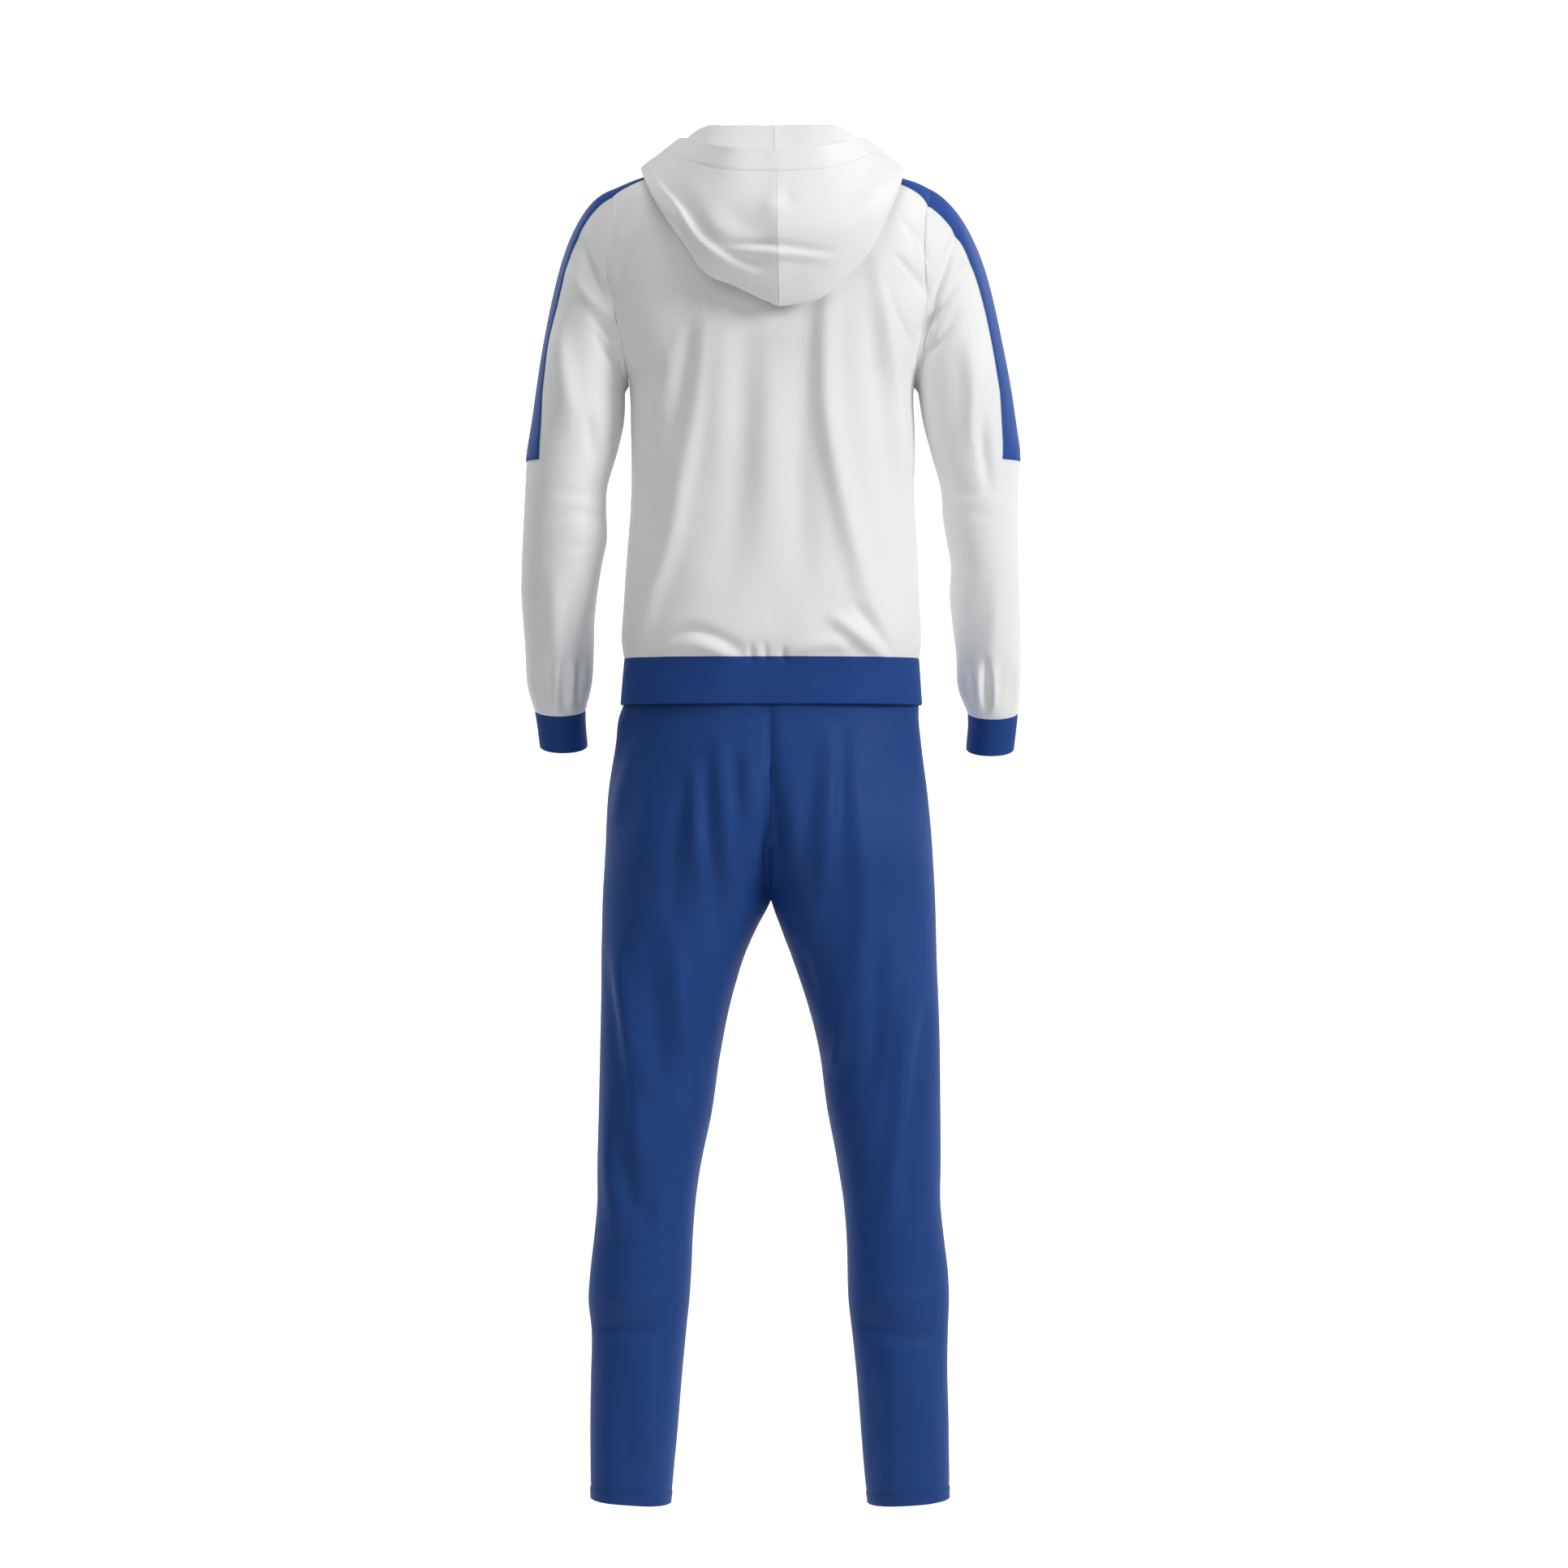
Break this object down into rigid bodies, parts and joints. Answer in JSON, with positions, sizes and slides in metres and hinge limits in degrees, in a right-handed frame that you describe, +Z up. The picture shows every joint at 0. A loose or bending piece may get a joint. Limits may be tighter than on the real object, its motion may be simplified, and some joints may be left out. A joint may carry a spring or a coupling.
{
  "type": "tracksuit",
  "caption": "Hooded white knit pullover with blue shoulder stripes, cuffs and hem band, over plain blue slim trousers, hollow and filled out as when worn.",
  "frame": {"origin": "midway between the shoulders at the height where the wearer's shoulders hold the top, straight above the side seams", "axes": "+Z up, the front faces -Y, +X is the wearer's left"},
  "size_m": [0.6175, 0.3156, 1.6851],
  "materials": {
    "white_knit": "smooth white polyester knit with a soft sheen",
    "blue_stripe": "smooth royal blue polyester knit",
    "blue_rib": "matt fine blue rib knit",
    "blue_knit": "smooth blue polyester knit with a soft sheen"
  },
  "bodies": {
    "root": {"jacket_back": "white_knit", "jacket_front": "white_knit", "sleeve_left": "white_knit", "sleeve_right": "white_knit", "hood_left": "white_knit", "hood_right": "white_knit", "stripe_left": "blue_stripe", "stripe_right": "blue_stripe", "cuff_left": "blue_rib", "cuff_right": "blue_rib", "hem_band": "blue_rib", "trouser_back_left": "blue_knit", "trouser_back_right": "blue_knit", "trouser_front_left": "blue_knit", "trouser_front_right": "blue_knit", "waistband": "blue_knit"}
  },
  "joints": []
}
